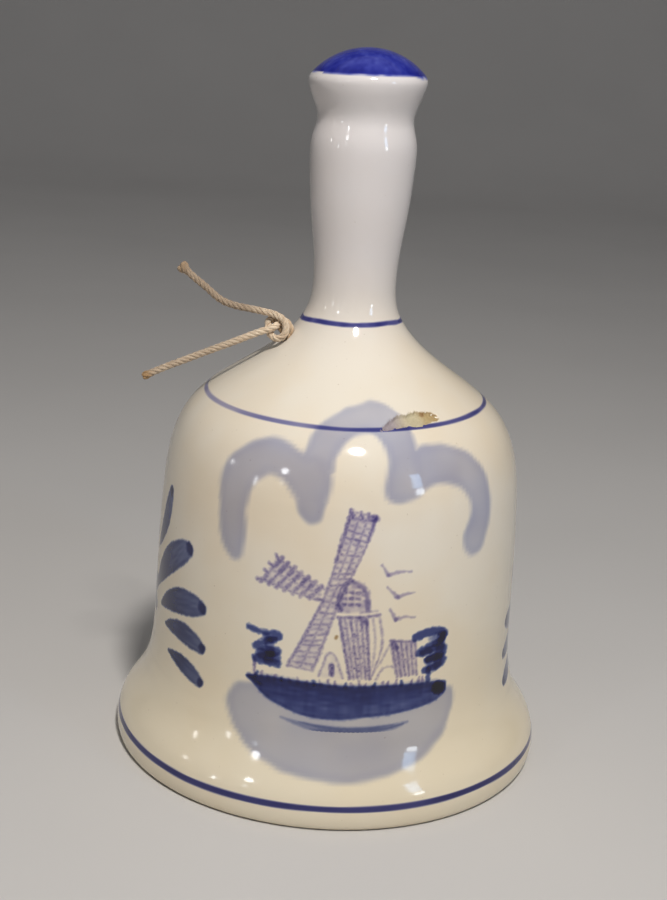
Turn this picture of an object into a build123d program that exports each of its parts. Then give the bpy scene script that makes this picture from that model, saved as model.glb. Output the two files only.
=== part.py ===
from build123d import *
import os
from math import cos, pi, radians, sin, tan

# Porcelain hand bell with a hollow handle and a ceramic ball clapper on a doubled cotton cord.
# Millimetres. +Z is up, and the origin is at the centre of the flat foot ring.

# ---- Driving dimensions: porcelain body --------------------------------------------------
wall = 3.2
lip_radius = 42.0
foot_radius = 41.9
foot_edge_round = 0.9
inner_lip_radius = 38.6
inner_round_width = 0.6
inner_round_radius = 1.0
cap_radius = 10.9
cap_top = 134.0
cap_edge_height = 129.3
cap_edge_radius = 10.4
bore_radius = 5.9
bore_dome_height = 122.0

# Outside of the casting as (radius, height), from just above the foot to the rim of the cap.
lip_outline = [
    (foot_radius, foot_edge_round),
    (lip_radius, 3.6),
    (41.2, 6.4),
    (39.5, 9.2),
    (37.6, 12.4),
]
bowl_outline = [
    (36.3, 16.0),
    (35.5, 20.8),
    (35.2, 27.0),
    (34.9, 40.0),
    (34.3, 52.0),
    (32.9, 61.0),
]
shoulder_outline = [
    (30.0, 67.0),
    (24.5, 72.0),
    (17.2, 77.0),
    (11.5, 82.0),
    (8.4, 87.0),
]
handle_outline = [
    (7.8, 92.0),
    (8.3, 99.0),
    (9.2, 106.0),
    (9.7, 113.0),
    (9.5, 118.4),
    (8.8, 121.3),
    (9.6, 124.4),
    (10.6, 126.9),
    (cap_radius, 128.4),
]
outline = lip_outline + bowl_outline + shoulder_outline + handle_outline

# Heights at which the inside of the wall is set out from the outside.
inner_heights = [4, 9.2, 14, 21, 32, 45, 56, 62, 66, 70, 74, 78, 81, 84, 87, 92, 99, 108]
bore_end = [(6.3, 116.0), (bore_radius, bore_dome_height)]

# ---- Driving dimensions: cord and clapper ------------------------------------------------
cord_diameter = 1.4
strand_gap = 0.06
hole_diameter = 3.1
hole_height = 81.0
hole_azimuth = radians(195)
drill_length = 3 * wall
knot_radius = 2.25
knot_length = 3.8
knot_lift = 0.15
knot_flat = 1.5
pivot_depth = 5.0
pivot_gap = 0.3
bend_radius = 1.4

ball_diameter = 14.0
ball_bore = 3.0
ball_height = 16.5
stop_gap = 0.3
stop_radius = 2.2
stop_length = 3.4
stop_flat = 1.45

# Loose tails: control points from inside the knot to the start of each tip.
upper_route = [
    (-14.0, -3.3, 84.0),
    (-16.4, -3.3, 85.35),
    (-20.6, -2.9, 86.2),
    (-24.9, -2.4, 86.8),
    (-27.9, -2.05, 89.15),
    (-30.4, -1.7, 90.8),
]
lower_route = [
    (-14.3, -4.0, 82.3),
    (-17.0, -4.3, 82.0),
    (-21.6, -4.9, 80.3),
    (-27.0, -5.5, 78.0),
    (-31.8, -6.0, 75.4),
    (-35.6, -6.4, 73.5),
]
frayed_tip_length = 1.9
frayed_tip_radius = 1.05
glued_tip_length = 1.7
glued_tip_radius = 0.8
glued_tip_round = 0.55

os.makedirs("parts", exist_ok=True)


def outside_at(height):
    """Point and upward tangent of the outer skin, in the profile plane, at a height."""
    low, high = 0.0, 1.0
    for _ in range(40):
        middle = (low + high) / 2
        if skin.position_at(middle).Y < height:
            low = middle
        else:
            high = middle
    return skin.position_at(low), skin.tangent_at(low)


def inside_at(height):
    """Point of the inner skin that lies one wall thickness in from the outer skin."""
    point, tangent = outside_at(height)
    inward = Vector(-tangent.Y, tangent.X)
    inner = point + inward.normalized() * wall
    return (inner.X, inner.Y)


def corner_radii(route):
    """Arc radius at each corner: 0.45 of the shorter run over the tangent of half the turn."""
    radii = []
    for before, corner, after in zip(route, route[1:], route[2:]):
        run_in = Vector(*corner) - Vector(*before)
        run_out = Vector(*after) - Vector(*corner)
        half_turn = radians(run_in.get_angle(run_out)) / 2
        radii.append(0.45 * min(run_in.length, run_out.length) / tan(half_turn))
    return radii


# ---- Profile of the casting ----------------------------------------------------------------
with BuildLine() as profile:
    skin = Spline(outline)
    cap_edge = Line((cap_radius, outline[-1][1]), (cap_edge_radius, cap_edge_height))
    dome_rise = cap_top - cap_edge_height
    dome_radius = (cap_edge_radius**2 + dome_rise**2) / (2 * dome_rise)
    dome = RadiusArc((cap_edge_radius, cap_edge_height), (0, cap_top), -dome_radius)
    bore_top = bore_dome_height + bore_radius
    cap_thickness = Line((0, cap_top), (0, bore_top))
    inner_lip = (inner_lip_radius, foot_edge_round)
    inner_foot = (inner_lip_radius + inner_round_width, 0)
    outer_foot = (foot_radius - foot_edge_round, 0)
    inner_points = [inner_lip] + [inside_at(height) for height in inner_heights] + bore_end
    cavity = Spline(inner_points)
    bore_dome = RadiusArc((bore_radius, bore_dome_height), (0, bore_top), -bore_radius)
    inner_round = RadiusArc(inner_lip, inner_foot, -inner_round_radius)
    foot = Line(inner_foot, outer_foot)
    outer_round = RadiusArc(outer_foot, outline[0], -foot_edge_round)

# ---- Cord hole: square to the skin, low on the side of the shoulder cone ---------------------
hole_point, hole_tangent = outside_at(hole_height)
radial = Vector(cos(hole_azimuth), sin(hole_azimuth), 0)
across = Vector(-sin(hole_azimuth), cos(hole_azimuth), 0)
outward = (radial * hole_tangent.Y - Vector(0, 0, 1) * hole_tangent.X).normalized()
hole_mouth = radial * hole_point.X + Vector(0, 0, hole_point.Y)
hole_plane = Plane(origin=hole_mouth, x_dir=across, z_dir=outward)
pivot = hole_mouth - outward * pivot_depth

with BuildPart() as bell_body:
    with BuildSketch(Plane.XZ):
        make_face(profile.line.edges())
    revolve(axis=Axis.Z)
    with Locations(hole_plane):
        Cylinder(hole_diameter / 2, drill_length, mode=Mode.SUBTRACT)

# ---- Cord: stopper knot outside the hole, on the hole's axis -------------------------------
with BuildPart() as cord_knot:
    with BuildSketch(Plane(origin=hole_mouth, x_dir=across, z_dir=across.cross(outward))):
        with BuildLine():
            knot_top = knot_lift + knot_length
            Line((0, knot_top), (0, knot_lift))
            Line((0, knot_lift), (knot_flat, knot_lift))
            Spline(
                [(knot_flat, knot_lift), (knot_radius, knot_lift + 0.5 * knot_length), (0, knot_top)],
                tangents=[(1, 1), (-1, 0)],
            )
        make_face()
    revolve(axis=Axis(hole_mouth, outward))

# ---- Cord: the two strands in the hole, side by side -----------------------------------------
strand_offset = (cord_diameter + strand_gap) / 2
throat_length = pivot_depth - bend_radius - pivot_gap + knot_lift
with BuildPart() as cord_throat:
    with BuildSketch(hole_plane.offset(knot_lift)):
        with Locations((strand_offset, 0), (-strand_offset, 0)):
            Circle(cord_diameter / 2)
    extrude(amount=-throat_length)

# ---- Cord: where the strands turn down, the ball of the swing --------------------------------
with BuildPart() as cord_bend:
    with Locations(pivot):
        Sphere(bend_radius)

# ---- Clapper: doubled cord hanging from the swing to the stop knot ---------------------------
cord_top = pivot.Z - bend_radius - pivot_gap
ball_bottom = ball_height - ball_diameter / 2
stop_top = ball_bottom - stop_gap
with BuildPart() as clapper_cord:
    with BuildSketch(Plane(origin=(pivot.X, pivot.Y, stop_top), x_dir=across, z_dir=(0, 0, 1))):
        with Locations((strand_offset, 0), (-strand_offset, 0)):
            Circle(cord_diameter / 2)
    extrude(amount=cord_top - stop_top)

with BuildPart() as clapper_knot:
    with BuildSketch(Plane(origin=(pivot.X, pivot.Y, stop_top), x_dir=(1, 0, 0), z_dir=(0, -1, 0))):
        with BuildLine():
            Line((0, -stop_length), (0, 0))
            Line((0, 0), (stop_flat, 0))
            Spline(
                [(stop_flat, 0), (stop_radius, -0.5 * stop_length), (0, -stop_length)],
                tangents=[(1, -1), (-1, 0)],
            )
        make_face()
    revolve(axis=Axis((pivot.X, pivot.Y, 0), (0, 0, 1)))

with BuildPart() as clapper_ball:
    with Locations((pivot.X, pivot.Y, ball_height)):
        Sphere(ball_diameter / 2)
        Cylinder(ball_bore / 2, 2 * ball_diameter, mode=Mode.SUBTRACT)

# ---- Cord: the two loose tails ----------------------------------------------------------------
tails = {}
tail_ends = {}
for name, route in (("cord_tail_upper", upper_route), ("cord_tail_lower", lower_route)):
    radii = corner_radii(route)
    with BuildLine():
        path = FilletPolyline(route, radius=radii)
    with BuildPart() as tail:
        with BuildSketch(Plane(origin=path @ 0, z_dir=path % 0)):
            Circle(cord_diameter / 2)
        sweep(path=path)
    tails[name] = tail
    tail_ends[name] = Plane(origin=path @ 1, z_dir=path % 1)
    expected = pi * (cord_diameter / 2) ** 2 * path.length
    print(name, "radii", [round(r, 1) for r in radii], "length", round(path.length, 1))
    print(name, "volume", round(tail.part.volume, 2), "section times length", round(expected, 2))

frayed_end = tail_ends["cord_tail_upper"]
with BuildPart() as cord_tip_upper:
    with BuildSketch(frayed_end):
        Circle(cord_diameter / 2)
    with BuildSketch(frayed_end.offset(frayed_tip_length)):
        Circle(frayed_tip_radius)
    loft()

glued_end = tail_ends["cord_tail_lower"]
with BuildPart() as cord_tip_lower:
    with BuildSketch(glued_end):
        Circle(glued_tip_radius)
    extrude(amount=glued_tip_length)
    end_edge = cord_tip_lower.edges().sort_by(Axis(glued_end.origin, glued_end.z_dir))[-1]
    fillet(end_edge, glued_tip_round)

# ---- Export ------------------------------------------------------------------------------------
pieces = {
    "bell_body": bell_body,
    "cord_knot": cord_knot,
    "cord_throat": cord_throat,
    "cord_bend": cord_bend,
    "clapper_cord": clapper_cord,
    "clapper_knot": clapper_knot,
    "clapper_ball": clapper_ball,
    "cord_tail_upper": tails["cord_tail_upper"],
    "cord_tail_lower": tails["cord_tail_lower"],
    "cord_tip_upper": cord_tip_upper,
    "cord_tip_lower": cord_tip_lower,
}
for name, piece in pieces.items():
    piece.part.label = name
    export_step(piece.part, f"parts/{name}.step")
print("pivot", pivot, "hole mouth", hole_mouth, "outward", outward)
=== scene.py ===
"""Porcelain hand bell with a painted windmill, a ceramic ball clapper and loose cotton twine.

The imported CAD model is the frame: the porcelain's outline is measured from it, and the painted
skin, the twine and the clapper are built on it. Lengths are in millimetres until a mesh is made.
"""

import math

import bpy
import numpy as np
from mathutils import Matrix, Vector
from mathutils.bvhtree import BVHTree


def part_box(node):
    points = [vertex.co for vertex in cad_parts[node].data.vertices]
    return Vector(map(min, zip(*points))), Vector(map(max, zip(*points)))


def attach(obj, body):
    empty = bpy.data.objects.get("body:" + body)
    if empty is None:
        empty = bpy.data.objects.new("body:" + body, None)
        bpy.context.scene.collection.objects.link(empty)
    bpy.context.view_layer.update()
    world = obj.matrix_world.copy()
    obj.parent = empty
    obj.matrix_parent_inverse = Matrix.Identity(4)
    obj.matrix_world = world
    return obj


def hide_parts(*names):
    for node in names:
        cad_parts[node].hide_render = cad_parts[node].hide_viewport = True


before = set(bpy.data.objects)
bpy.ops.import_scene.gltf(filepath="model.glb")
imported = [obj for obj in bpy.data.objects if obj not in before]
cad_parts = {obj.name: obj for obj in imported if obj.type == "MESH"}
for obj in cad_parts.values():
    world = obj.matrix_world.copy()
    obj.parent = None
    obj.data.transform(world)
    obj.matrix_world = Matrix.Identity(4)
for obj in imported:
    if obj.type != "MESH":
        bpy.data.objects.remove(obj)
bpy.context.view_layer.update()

MM = 0.001


# ---- Small tools ---------------------------------------------------------------------------------
def add_object(name, data):
    """A new object in the scene."""
    thing = bpy.data.objects.new(name, data)
    bpy.context.scene.collection.objects.link(thing)
    return thing


def unit(vector):
    return vector / np.linalg.norm(vector)


def smooth_step(low, high, value):
    t = np.clip((value - low) / (high - low), 0.0, 1.0)
    return t * t * (3.0 - 2.0 * t)


def new_mesh(name, points, faces, material, body):
    """A piece from points in millimetres, smooth shaded, riding on a body."""
    mesh = bpy.data.meshes.new(name)
    mesh.from_pydata((np.asarray(points) * MM).tolist(), [], faces)
    mesh.shade_smooth()
    mesh.materials.append(material)
    mesh.validate()
    piece = add_object(name, mesh)
    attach(piece, body)
    return piece


ATTRIBUTE_FIELDS = {"FLOAT": "value", "FLOAT_COLOR": "color", "FLOAT_VECTOR": "vector"}


def set_attribute(mesh, name, kind, values):
    """A new attribute with a value at every point."""
    attribute = mesh.attributes.new(name, kind, "POINT")
    attribute.data.foreach_set(ATTRIBUTE_FIELDS[kind], np.asarray(values, np.float32).ravel())


def set_glaze(mesh, ink, bare, stain_and_shade):
    """The three attributes that the glaze reads, at every point."""
    set_attribute(mesh, "ink", "FLOAT_COLOR", np.column_stack([ink, np.ones(len(ink))]))
    set_attribute(mesh, "bare", "FLOAT", bare)
    set_attribute(mesh, "stain_and_shade", "FLOAT", stain_and_shade)


def turns(count):
    """Angles evenly spread round a circle."""
    return 2 * math.pi * np.arange(count) / count


def ring_faces(rings, sides, start=0, closed=False):
    """Quads between rings of points. closed also joins the last ring to the first."""
    faces = []
    for row in range(rings if closed else rings - 1):
        low, high = start + row * sides, start + (row + 1) % rings * sides
        for k in range(sides):
            after = (k + 1) % sides
            faces.append((low + k, low + after, high + after, high + k))
    return faces


# ---- Camera: a little above the top of the handle, looking down at the bell ----------------------
IMAGE_HEIGHT = 900
FOCAL_PIXELS = 1461.2
SENSOR = 36.0
CLIP_NEAR = 0.01
CLIP_FAR = 20.0
CAMERA_PLACE = Vector((0.0, -271.59, 138.86))
CAMERA_YAW = math.radians(-0.39)
CAMERA_PITCH = math.radians(16.51)
CAMERA_ROLL = math.radians(3.8)


def make_camera():
    data = bpy.data.cameras.new("camera")
    data.sensor_width = SENSOR
    data.lens = FOCAL_PIXELS * SENSOR / IMAGE_HEIGHT
    data.clip_start = CLIP_NEAR
    data.clip_end = CLIP_FAR
    forward = Vector((
        math.sin(CAMERA_YAW) * math.cos(CAMERA_PITCH),
        math.cos(CAMERA_YAW) * math.cos(CAMERA_PITCH),
        -math.sin(CAMERA_PITCH),
    ))
    level = Vector((math.cos(CAMERA_YAW), -math.sin(CAMERA_YAW), 0.0))
    upright = level.cross(forward)
    right = level * math.cos(CAMERA_ROLL) + upright * math.sin(CAMERA_ROLL)
    up = upright * math.cos(CAMERA_ROLL) - level * math.sin(CAMERA_ROLL)
    turn = Matrix((right, up, -forward)).transposed().to_4x4()
    camera = add_object("camera", data)
    camera.matrix_world = Matrix.Translation(CAMERA_PLACE * MM) @ turn
    bpy.context.scene.camera = camera


make_camera()


# ---- Node trees ----------------------------------------------------------------------------------
class Shader:
    """A material's node tree, with short ways to add and join nodes."""

    def __init__(self, name):
        self.material = bpy.data.materials.new(name)
        self.material.use_nodes = True
        self.tree = self.material.node_tree
        self.surface = self.tree.nodes["Principled BSDF"]

    def add(self, kind, settings=None, **inputs):
        node = self.tree.nodes.new("ShaderNode" + kind)
        for key, value in (settings or {}).items():
            setattr(node, key, value)
        for key, value in inputs.items():
            self.feed(node, key, value)
        return node

    def feed(self, node, socket, value):
        """Gives an input, by name or place, a link, a colour or a number."""
        target = node.inputs[socket]
        if isinstance(value, bpy.types.NodeSocket):
            self.tree.links.new(value, target)
        elif isinstance(value, np.ndarray):
            target.default_value = (*value, 1.0)
        else:
            target.default_value = value

    def with_surface(self, **inputs):
        """Feeds the surface and returns the material. An underscore stands for a space."""
        for key, value in inputs.items():
            self.feed(self.surface, key.replace("_", " "), value)
        return self.material

    def attribute(self, name, output="Fac"):
        return self.add("Attribute", {"attribute_name": name}).outputs[output]

    def math(self, operation, first, second):
        node = self.add("Math", {"operation": operation})
        self.feed(node, 0, first)
        self.feed(node, 1, second)
        return node.outputs["Value"]

    def mix(self, factor, first, second, blend="MIX"):
        node = self.add("Mix", {"data_type": "RGBA", "blend_type": blend, "clamp_factor": True})
        self.feed(node, 0, factor)
        self.feed(node, 6, first)
        self.feed(node, 7, second)
        return node.outputs[2]

    def noise(self, scale, detail=2.0, roughness=0.5, vector=None):
        node = self.add("TexNoise", Scale=scale, Detail=detail, Roughness=roughness)
        self.feed(node, "Vector", vector or self.place())
        return node.outputs["Fac"]

    def place(self):
        """Position in the object's own frame, in metres."""
        return self.add("TexCoord").outputs["Object"]

    def between(self, value, *limits):
        """A smooth step. limits are the value's low and high, then the results for them."""
        node = self.add("MapRange", {"interpolation_type": "SMOOTHSTEP"})
        for key, limit in zip(("From Min", "From Max", "To Min", "To Max"), limits):
            self.feed(node, key, limit)
        self.feed(node, "Value", value)
        return node.outputs["Result"]

    def bump(self, height, strength, distance, normal=None):
        node = self.add("Bump", Strength=strength, Distance=distance)
        self.feed(node, "Height", height)
        if normal is not None:
            self.feed(node, "Normal", normal)
        return node.outputs["Normal"]


def colour(red, green, blue):
    """A display colour from 0 to 255, as the linear colour that shaders use."""
    levels = np.array([red, green, blue]) / 255.0
    return np.where(levels <= 0.04045, levels / 12.92, ((levels + 0.055) / 1.055) ** 2.4)


IVORY = colour(233, 224, 208)
IVORY_WARM = colour(230, 215, 191)
# Painted cool light: the bluish grey that the upper bell and the handle turn towards.
IVORY_PAINTED_COOL_LIGHT = colour(214, 210, 214)
IVORY_LOW = colour(228, 214, 183)
BISCUIT = colour(203, 191, 157)
BISCUIT_DARK = colour(150, 122, 84)
GLAZE_IOR = 1.52
COTTON = colour(246, 230, 203)
COTTON_SHADOW = colour(200, 171, 141)
GLUE = colour(150, 108, 46)


def glaze_material(name):
    """Ivory glaze over whiteware, with painted cool light on its upper part. Attribute ink is the pigments'
    filter, bare is unglazed clay.
    """
    shader = Shader(name)
    ink = shader.attribute("ink", "Color")
    bare = shader.attribute("bare")
    stain_and_shade = shader.attribute("stain_and_shade")
    cloud = shader.noise(34.0, 3.0, 0.55)
    speck = shader.noise(1500.0, 1.0, 0.5)
    body = shader.mix(shader.between(cloud, 0.35, 0.7, 0.0, 1.0), IVORY, IVORY_WARM)
    height = shader.add("SeparateXYZ", Vector=shader.place()).outputs["Z"]
    # Painted cool light: bluish grey from 74 mm up, strongest above 100 mm.
    body = shader.mix(shader.between(height, 0.074, 0.1, 0.0, 0.75), body, IVORY_PAINTED_COOL_LIGHT)
    body = shader.mix(shader.between(height, 0.012, 0.058, 0.6, 0.0), body, IVORY_LOW)
    body = shader.mix(shader.between(speck, 0.76, 0.84, 0.0, 0.35), body, BISCUIT_DARK)
    grain = shader.noise(2600.0, 3.0, 0.6)
    clay = shader.mix(shader.between(grain, 0.3, 0.8, 0.0, 1.0), BISCUIT, BISCUIT * 0.85)
    # Stains darken bare clay; on the chip they also carry painted shadow along its upper edge.
    clay = shader.mix(stain_and_shade, clay, BISCUIT_DARK)
    painted = shader.mix(1.0, shader.mix(bare, body, clay), ink, "MULTIPLY")
    gloss = shader.between(shader.noise(260.0, 2.0), 0.3, 0.75, 0.06, 0.12)
    rough = shader.math("MAXIMUM", gloss, shader.math("MULTIPLY", bare, 0.72))
    ripple = shader.bump(shader.noise(150.0, 2.0, 0.45), 0.05, 0.0006)
    pitted = shader.bump(shader.math("MULTIPLY", grain, bare), 0.22, 0.0002, ripple)
    return shader.with_surface(Base_Color=painted, Roughness=rough, IOR=GLAZE_IOR, Normal=pitted)


def twine_material(name, cotton, shadow):
    """Twisted cotton. Attribute lay places the fibres, crease_shade is painted shade between plies (and
    darker tail ends), stain_and_shade is dried glue.
    """
    shader = Shader(name)
    fibre = shader.noise(1.0, 3.0, 0.6, shader.attribute("lay", "Vector"))
    patch = shader.noise(420.0, 2.0)
    shade = shader.mix(shader.between(fibre, 0.3, 0.7, 0.0, 1.0), shadow, cotton)
    shade = shader.mix(shader.between(patch, 0.4, 0.75, 0.0, 0.35), shade, shadow)
    # Painted shade between the plies, with the tails also darker towards their ends.
    shade = shader.mix(shader.attribute("crease_shade"), shade, shadow * 0.45)
    stain_and_shade = shader.attribute("stain_and_shade")
    shade = shader.mix(stain_and_shade, shade, GLUE)
    rough = shader.between(stain_and_shade, 0.0, 1.0, 0.9, 0.45)
    fuzz = shader.bump(fibre, 0.7, 0.00012)
    return shader.with_surface(
        Base_Color=shade, Roughness=rough, Sheen_Weight=0.35, Sheen_Roughness=0.5, Normal=fuzz
    )


def paper_material(name, shade):
    shader = Shader(name)
    tone = shader.between(shader.noise(9.0, 2.0), 0.3, 0.7, 0.0, 1.0)
    return shader.with_surface(Base_Color=shader.mix(tone, shade, shade * 0.97), Roughness=0.85)


# ---- The porcelain's outline, measured from the frame -------------------------------------------
CAST_AZIMUTHS = np.radians(np.arange(0, 360, 30))
REACH = 80.0
CAP_RIM_HEIGHT = 129.2
BORE_SHOULDER = 122.0
FOOT_ZONE = 6.0  # heights below this are measured more closely
FOOT_STEP = 0.15
OUTLINE_STEP = 0.4
SAMPLE_STEP = 0.1


def porcelain_outline():
    """Outer and inner outline as (radius, height) rows, from under the foot to the axis."""
    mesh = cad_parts["bell_body"].data
    corners = [vertex.co / MM for vertex in mesh.vertices]
    tree = BVHTree.FromPolygons(corners, [tuple(face.vertices) for face in mesh.polygons])
    low, high = (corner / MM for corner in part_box("bell_body"))

    def farthest(height, outward):
        radii = []
        for azimuth in CAST_AZIMUTHS:
            direction = Vector((math.cos(azimuth), math.sin(azimuth), 0.0))
            start = Vector((0, 0, height)) if outward else direction * REACH + Vector((0, 0, height))
            found = tree.ray_cast(start, direction if outward else -direction)[0]
            if found is not None:
                radii.append(math.hypot(found.x, found.y))
        return max(radii)

    def dome(radius, start, direction):
        return tree.ray_cast(Vector((radius, 0.001, start)), Vector((0, 0, direction)))[0].z

    def rows(heights, outward, start, direction):
        """Up the wall, then across the dome that closes it."""
        made = [(foot_middle, low.z)] + [(farthest(z, outward), z) for z in heights]
        for radius in np.arange(made[-1][0] - 0.3, 0.0, -OUTLINE_STEP):
            made.append((radius, dome(radius, start, direction)))
        return made

    foot_middle = (farthest(0.02, True) + farthest(0.02, False)) / 2
    heights = np.r_[np.arange(0.03, FOOT_ZONE, FOOT_STEP), np.arange(FOOT_ZONE, CAP_RIM_HEIGHT, OUTLINE_STEP)]
    outer = rows(heights, False, high.z + 5.0, -1.0) + [(0.0, high.z)]
    inner = rows(heights[heights < BORE_SHOULDER], True, BORE_SHOULDER, 1.0)
    inner.append((0.0, dome(0.0, BORE_SHOULDER, 1.0)))
    return np.array(outer), np.array(inner)


class Outline:
    """A smooth outline by arc length. Arc length equals height at the datum height.

    The rows are evened out, carried on past both ends, and blurred so that every edge is softly
    rounded as glaze leaves it. outside says which way the normals point.
    """

    def __init__(self, rows, blur, datum, outside):
        rows = rows[np.r_[True, np.hypot(*np.diff(rows, axis=0).T) > 1e-6]]
        run = np.r_[0.0, np.cumsum(np.hypot(*np.diff(rows, axis=0).T))]
        even = np.arange(0.0, run[-1], SAMPLE_STEP)
        radius = np.interp(even, run, rows[:, 0])
        height = np.interp(even, run, rows[:, 1])
        pad = int(6 * blur / SAMPLE_STEP)
        foot = np.arange(-pad, 0) * SAMPLE_STEP
        side = 1.0 if outside else -1.0
        radius = np.r_[rows[0, 0] + side * foot, radius, -radius[::-1][:pad]]
        height = np.r_[np.full(pad, rows[0, 1]), height, height[::-1][:pad]]
        offsets = np.arange(-pad, pad + 1) * SAMPLE_STEP
        weights = np.exp(-0.5 * (offsets / blur) ** 2)
        weights /= weights.sum()
        self.radius = np.convolve(radius, weights, "same")[pad:-pad]
        self.height = np.convolve(height, weights, "same")[pad:-pad]
        self.radius[-1] = 0.0
        steps = np.hypot(np.diff(self.radius), np.diff(self.height))
        self.run = np.r_[0.0, np.cumsum(steps)]
        half = len(self.run) // 2
        self.run += datum - np.interp(datum, self.height[:half], self.run[:half])
        self.out_radius = side * np.gradient(self.height, self.run)
        self.out_height = -side * np.gradient(self.radius, self.run)

    def at(self, s):
        return np.interp(s, self.run, self.radius), np.interp(s, self.run, self.height)

    def normal(self, s):
        across, up = np.interp(s, self.run, self.out_radius), np.interp(s, self.run, self.out_height)
        length = np.hypot(across, up)
        return across / length, up / length


outer_rows, inner_rows = porcelain_outline()
SKIN_BLUR = 0.45
DATUM = 40.0
outside = Outline(outer_rows, SKIN_BLUR, DATUM, True)
inside = Outline(inner_rows, SKIN_BLUR, DATUM, False)
FOOT_RUN = outside.run[0]
APEX_RUN = outside.run[-1]
APEX_SAMPLES = 60  # the nearly flat top, left out where heights must keep rising
CAP_EDGE_RUN = float(np.interp(CAP_RIM_HEIGHT, outside.height[:-APEX_SAMPLES], outside.run[:-APEX_SAMPLES]))

PRINT_RADIUS = 35.0  # u, across the painting, is the azimuth times this radius
KILN_SWAY = 0.07  # how far the casting is out of round
CAP_RADIUS = 10.9
CAP_TILT = 0.3  # rise of the cap's edge on one side
CAP_DROP = 0.02
CAP_START, CAP_FULL = 120.5, 126.0  # heights where the tilt begins and where it is complete


def skin(u, s, lift=0.0):
    """Points on the outer skin at painting coordinates u and s, lifted off it by lift."""
    azimuth = np.asarray(u) / PRINT_RADIUS
    radius, height = outside.at(s)
    across, up = outside.normal(s)
    sway = 0.5 + 0.5 * np.sin(2 * azimuth + 0.7) * np.cos(0.05 * height)
    radius = radius + across * lift - KILN_SWAY * sway * smooth_step(0.5, 6.0, radius)
    height = height + up * lift
    points = np.stack([radius * np.sin(azimuth), -radius * np.cos(azimuth), height], axis=-1)
    cap = smooth_step(CAP_START, CAP_FULL, points[..., 2])
    points[..., 2] += cap * (CAP_TILT * points[..., 0] / CAP_RADIUS - CAP_DROP)
    return points


# ---- Painting: shapes in (u, s) millimetres on the unrolled skin ----------------------------------
# Each pigment is the share of light that one full coat lets through.
WASH = np.array([0.52, 0.565, 0.78])
COBALT = np.array([0.075, 0.10, 0.52])
SLATE = np.array([0.165, 0.21, 0.45])
NAVY = np.array([0.03, 0.045, 0.24])
MAUVE = np.array([0.30, 0.28, 0.56])
BANK = np.array([0.05, 0.08, 0.34])
LINE = np.array([0.085, 0.095, 0.37])

NOISE_CELLS = 96


def value_noise(u, s, size, seed):
    """Smooth noise from 0 to 1 with blobs of about that size."""
    grid = np.random.default_rng(seed).random((NOISE_CELLS, NOISE_CELLS))
    x, y = u / size + 40.0, s / size + 40.0
    column, row = np.floor(x).astype(int), np.floor(y).astype(int)
    fx, fy = x - column, y - row
    fx, fy = fx * fx * (3 - 2 * fx), fy * fy * (3 - 2 * fy)

    def corner(i, j):
        return grid[(row + j) % NOISE_CELLS, (column + i) % NOISE_CELLS]

    low = corner(0, 0) * (1 - fx) + corner(1, 0) * fx
    high = corner(0, 1) * (1 - fx) + corner(1, 1) * fx
    return low * (1 - fy) + high * fy


def curve(points, closed=False, steps=7):
    """A Catmull-Rom curve through given points."""
    points = np.asarray(points, float)
    if closed:
        padded = np.vstack([points[-1], points, points[0], points[1]])
    else:
        padded = np.vstack([2 * points[0] - points[1], points, 2 * points[-1] - points[-2]])
    t = (np.arange(steps) / steps)[:, None]
    spans = []
    for a, b, c, d in zip(padded, padded[1:], padded[2:], padded[3:]):
        square = 2 * a - 5 * b + 4 * c - d
        cube = 3 * b - a - 3 * c + d
        spans.append(0.5 * (2 * b + (c - a) * t + square * t**2 + cube * t**3))
    if not closed:
        spans.append(padded[-2][None])
    return np.vstack(spans)


def line_distance(u, s, line, widths=None):
    """Distance to a polyline less its half width, which may change along it."""
    widths = np.zeros(len(line)) if widths is None else widths
    best = np.full(u.shape, np.inf)
    for k in range(len(line) - 1):
        (x0, y0), (x1, y1) = line[k], line[k + 1]
        dx, dy = x1 - x0, y1 - y0
        t = np.clip(((u - x0) * dx + (s - y0) * dy) / max(dx * dx + dy * dy, 1e-12), 0.0, 1.0)
        reach = np.hypot(u - x0 - t * dx, s - y0 - t * dy) - (widths[k] * (1 - t) + widths[k + 1] * t)
        np.minimum(best, reach, out=best)
    return best


def area_distance(u, s, outline):
    """Distance to a closed outline, negative inside it."""
    closed = np.vstack([outline, outline[:1]])
    distance = line_distance(u, s, closed)
    inside_it = np.zeros(u.shape, bool)
    for (x0, y0), (x1, y1) in zip(closed, closed[1:]):
        if y0 == y1:
            continue
        crosses = (s < y0) != (s < y1)
        inside_it ^= crosses & (u < (x1 - x0) * (s - y0) / (y1 - y0) + x0)
    return np.where(inside_it, -distance, distance)


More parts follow.
